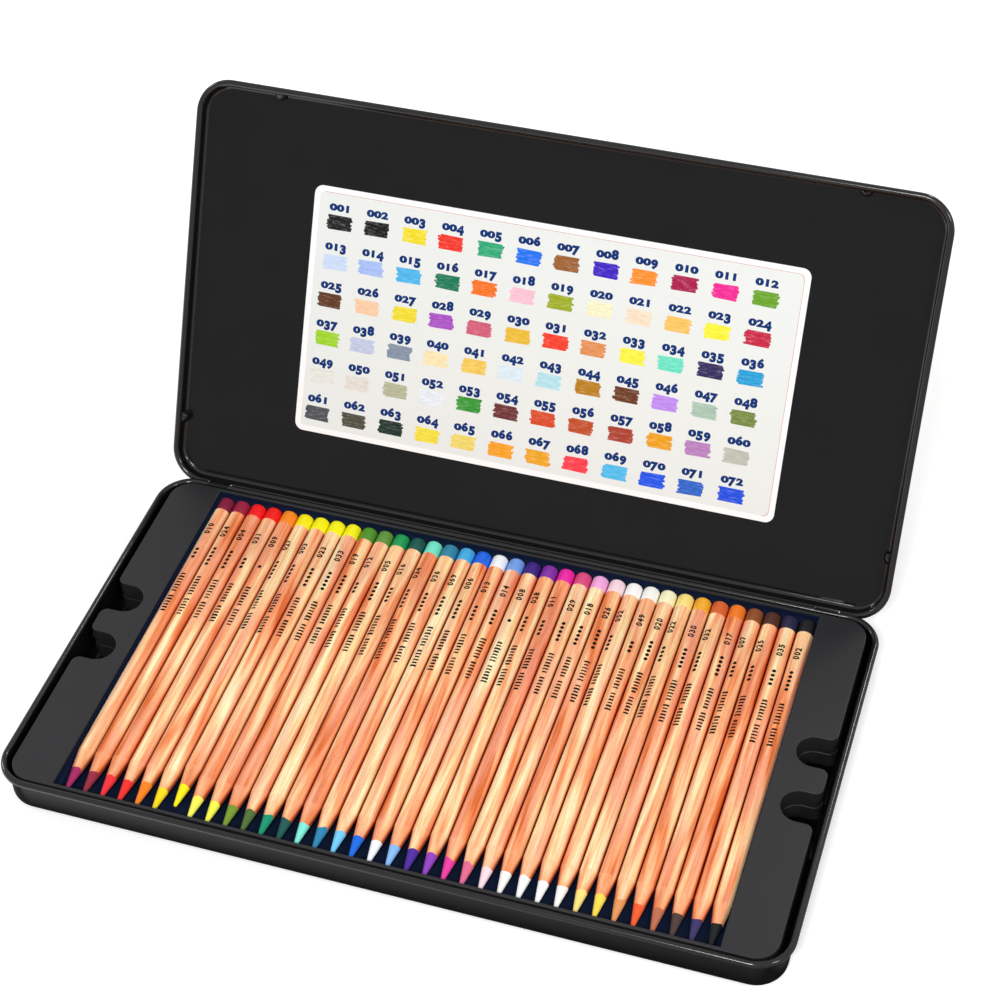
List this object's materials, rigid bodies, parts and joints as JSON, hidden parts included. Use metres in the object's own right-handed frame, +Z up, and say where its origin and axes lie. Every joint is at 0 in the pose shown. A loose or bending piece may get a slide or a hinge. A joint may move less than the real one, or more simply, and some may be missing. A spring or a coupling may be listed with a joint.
{
  "type": "pastel pencil tin",
  "caption": "Open hinged steel tin of pastel pencils in stacked lift-out trays, with a printed colour card inside the lid.",
  "frame": {"origin": "centre of the base's flat bottom, on the surface it stands on", "axes": "+X along the tin to the right of someone in front of it, +Y towards the hinges, +Z up"},
  "size_m": [0.337, 0.2769, 0.1837],
  "materials": {
    "black_steel": "satin black enamel",
    "hinge_wire": "plain drawn wire",
    "card_paper": "matt, printed",
    "tray_plastic": "fine matt",
    "liner_paper": "matt navy",
    "cedar": "clear lacquer",
    "pastel_core": "dry and chalky",
    "dipped_lacquer": "gloss lacquer"
  },
  "bodies": {
    "base": {"base_tin": "black_steel", "hinge_pin_left": "hinge_wire", "hinge_pin_right": "hinge_wire"},
    "lid": {"lid_tin": "black_steel", "colour_card": "card_paper"},
    "lower_tray": {"lower_tray": "tray_plastic", "lower_liner": "liner_paper", "lower_barrels": "cedar", "lower_cores": "pastel_core", "lower_dips": "dipped_lacquer"},
    "upper_tray": {"upper_tray": "tray_plastic", "upper_liner": "liner_paper"},
    "pencil_01": {"pencil_01": "cedar"},
    "pencil_02": {"pencil_02": "cedar"},
    "pencil_03": {"pencil_03": "cedar"},
    "pencil_04": {"pencil_04": "cedar"},
    "pencil_05": {"pencil_05": "cedar"},
    "pencil_06": {"pencil_06": "cedar"},
    "pencil_07": {"pencil_07": "cedar"},
    "pencil_08": {"pencil_08": "cedar"},
    "pencil_09": {"pencil_09": "cedar"},
    "pencil_10": {"pencil_10": "cedar"},
    "pencil_11": {"pencil_11": "cedar"},
    "pencil_12": {"pencil_12": "cedar"},
    "pencil_13": {"pencil_13": "cedar"},
    "pencil_14": {"pencil_14": "cedar"},
    "pencil_15": {"pencil_15": "cedar"},
    "pencil_16": {"pencil_16": "cedar"},
    "pencil_17": {"pencil_17": "cedar"},
    "pencil_18": {"pencil_18": "cedar"},
    "pencil_19": {"pencil_19": "cedar"},
    "pencil_20": {"pencil_20": "cedar"},
    "pencil_21": {"pencil_21": "cedar"},
    "pencil_22": {"pencil_22": "cedar"},
    "pencil_23": {"pencil_23": "cedar"},
    "pencil_24": {"pencil_24": "cedar"},
    "pencil_25": {"pencil_25": "cedar"},
    "pencil_26": {"pencil_26": "cedar"},
    "pencil_27": {"pencil_27": "cedar"},
    "pencil_28": {"pencil_28": "cedar"},
    "pencil_29": {"pencil_29": "cedar"},
    "pencil_30": {"pencil_30": "cedar"},
    "pencil_31": {"pencil_31": "cedar"},
    "pencil_32": {"pencil_32": "cedar"},
    "pencil_33": {"pencil_33": "cedar"},
    "pencil_34": {"pencil_34": "cedar"},
    "pencil_35": {"pencil_35": "cedar"},
    "pencil_36": {"pencil_36": "cedar"}
  },
  "joints": [
    {"name": "lid_hinge", "type": "hinge", "parent": "base", "child": "lid", "pos_m": [0, 0.0928, 0.0183], "axis": [-1, 0, 0], "range_deg": [-117, 0]},
    {"name": "lower_tray_lift", "type": "slide", "parent": "base", "child": "lower_tray", "axis": [0, 0, 1], "range_m": [0, 0.06]},
    {"name": "upper_tray_lift", "type": "slide", "parent": "lower_tray", "child": "upper_tray", "axis": [0, 0, 1], "range_m": [0, 0.06]},
    {"name": "pencil_01_lift", "type": "slide", "parent": "upper_tray", "child": "pencil_01", "axis": [0, 0, 1], "range_m": [0, 0.06]},
    {"name": "pencil_02_lift", "type": "slide", "parent": "upper_tray", "child": "pencil_02", "axis": [0, 0, 1], "range_m": [0, 0.06]},
    {"name": "pencil_03_lift", "type": "slide", "parent": "upper_tray", "child": "pencil_03", "axis": [0, 0, 1], "range_m": [0, 0.06]},
    {"name": "pencil_04_lift", "type": "slide", "parent": "upper_tray", "child": "pencil_04", "axis": [0, 0, 1], "range_m": [0, 0.06]},
    {"name": "pencil_05_lift", "type": "slide", "parent": "upper_tray", "child": "pencil_05", "axis": [0, 0, 1], "range_m": [0, 0.06]},
    {"name": "pencil_06_lift", "type": "slide", "parent": "upper_tray", "child": "pencil_06", "axis": [0, 0, 1], "range_m": [0, 0.06]},
    {"name": "pencil_07_lift", "type": "slide", "parent": "upper_tray", "child": "pencil_07", "axis": [0, 0, 1], "range_m": [0, 0.06]},
    {"name": "pencil_08_lift", "type": "slide", "parent": "upper_tray", "child": "pencil_08", "axis": [0, 0, 1], "range_m": [0, 0.06]},
    {"name": "pencil_09_lift", "type": "slide", "parent": "upper_tray", "child": "pencil_09", "axis": [0, 0, 1], "range_m": [0, 0.06]},
    {"name": "pencil_10_lift", "type": "slide", "parent": "upper_tray", "child": "pencil_10", "axis": [0, 0, 1], "range_m": [0, 0.06]},
    {"name": "pencil_11_lift", "type": "slide", "parent": "upper_tray", "child": "pencil_11", "axis": [0, 0, 1], "range_m": [0, 0.06]},
    {"name": "pencil_12_lift", "type": "slide", "parent": "upper_tray", "child": "pencil_12", "axis": [0, 0, 1], "range_m": [0, 0.06]},
    {"name": "pencil_13_lift", "type": "slide", "parent": "upper_tray", "child": "pencil_13", "axis": [0, 0, 1], "range_m": [0, 0.06]},
    {"name": "pencil_14_lift", "type": "slide", "parent": "upper_tray", "child": "pencil_14", "axis": [0, 0, 1], "range_m": [0, 0.06]},
    {"name": "pencil_15_lift", "type": "slide", "parent": "upper_tray", "child": "pencil_15", "axis": [0, 0, 1], "range_m": [0, 0.06]},
    {"name": "pencil_16_lift", "type": "slide", "parent": "upper_tray", "child": "pencil_16", "axis": [0, 0, 1], "range_m": [0, 0.06]},
    {"name": "pencil_17_lift", "type": "slide", "parent": "upper_tray", "child": "pencil_17", "axis": [0, 0, 1], "range_m": [0, 0.06]},
    {"name": "pencil_18_lift", "type": "slide", "parent": "upper_tray", "child": "pencil_18", "axis": [0, 0, 1], "range_m": [0, 0.06]},
    {"name": "pencil_19_lift", "type": "slide", "parent": "upper_tray", "child": "pencil_19", "axis": [0, 0, 1], "range_m": [0, 0.06]},
    {"name": "pencil_20_lift", "type": "slide", "parent": "upper_tray", "child": "pencil_20", "axis": [0, 0, 1], "range_m": [0, 0.06]},
    {"name": "pencil_21_lift", "type": "slide", "parent": "upper_tray", "child": "pencil_21", "axis": [0, 0, 1], "range_m": [0, 0.06]},
    {"name": "pencil_22_lift", "type": "slide", "parent": "upper_tray", "child": "pencil_22", "axis": [0, 0, 1], "range_m": [0, 0.06]},
    {"name": "pencil_23_lift", "type": "slide", "parent": "upper_tray", "child": "pencil_23", "axis": [0, 0, 1], "range_m": [0, 0.06]},
    {"name": "pencil_24_lift", "type": "slide", "parent": "upper_tray", "child": "pencil_24", "axis": [0, 0, 1], "range_m": [0, 0.06]},
    {"name": "pencil_25_lift", "type": "slide", "parent": "upper_tray", "child": "pencil_25", "axis": [0, 0, 1], "range_m": [0, 0.06]},
    {"name": "pencil_26_lift", "type": "slide", "parent": "upper_tray", "child": "pencil_26", "axis": [0, 0, 1], "range_m": [0, 0.06]},
    {"name": "pencil_27_lift", "type": "slide", "parent": "upper_tray", "child": "pencil_27", "axis": [0, 0, 1], "range_m": [0, 0.06]},
    {"name": "pencil_28_lift", "type": "slide", "parent": "upper_tray", "child": "pencil_28", "axis": [0, 0, 1], "range_m": [0, 0.06]},
    {"name": "pencil_29_lift", "type": "slide", "parent": "upper_tray", "child": "pencil_29", "axis": [0, 0, 1], "range_m": [0, 0.06]},
    {"name": "pencil_30_lift", "type": "slide", "parent": "upper_tray", "child": "pencil_30", "axis": [0, 0, 1], "range_m": [0, 0.06]},
    {"name": "pencil_31_lift", "type": "slide", "parent": "upper_tray", "child": "pencil_31", "axis": [0, 0, 1], "range_m": [0, 0.06]},
    {"name": "pencil_32_lift", "type": "slide", "parent": "upper_tray", "child": "pencil_32", "axis": [0, 0, 1], "range_m": [0, 0.06]},
    {"name": "pencil_33_lift", "type": "slide", "parent": "upper_tray", "child": "pencil_33", "axis": [0, 0, 1], "range_m": [0, 0.06]},
    {"name": "pencil_34_lift", "type": "slide", "parent": "upper_tray", "child": "pencil_34", "axis": [0, 0, 1], "range_m": [0, 0.06]},
    {"name": "pencil_35_lift", "type": "slide", "parent": "upper_tray", "child": "pencil_35", "axis": [0, 0, 1], "range_m": [0, 0.06]},
    {"name": "pencil_36_lift", "type": "slide", "parent": "upper_tray", "child": "pencil_36", "axis": [0, 0, 1], "range_m": [0, 0.06]}
  ]
}
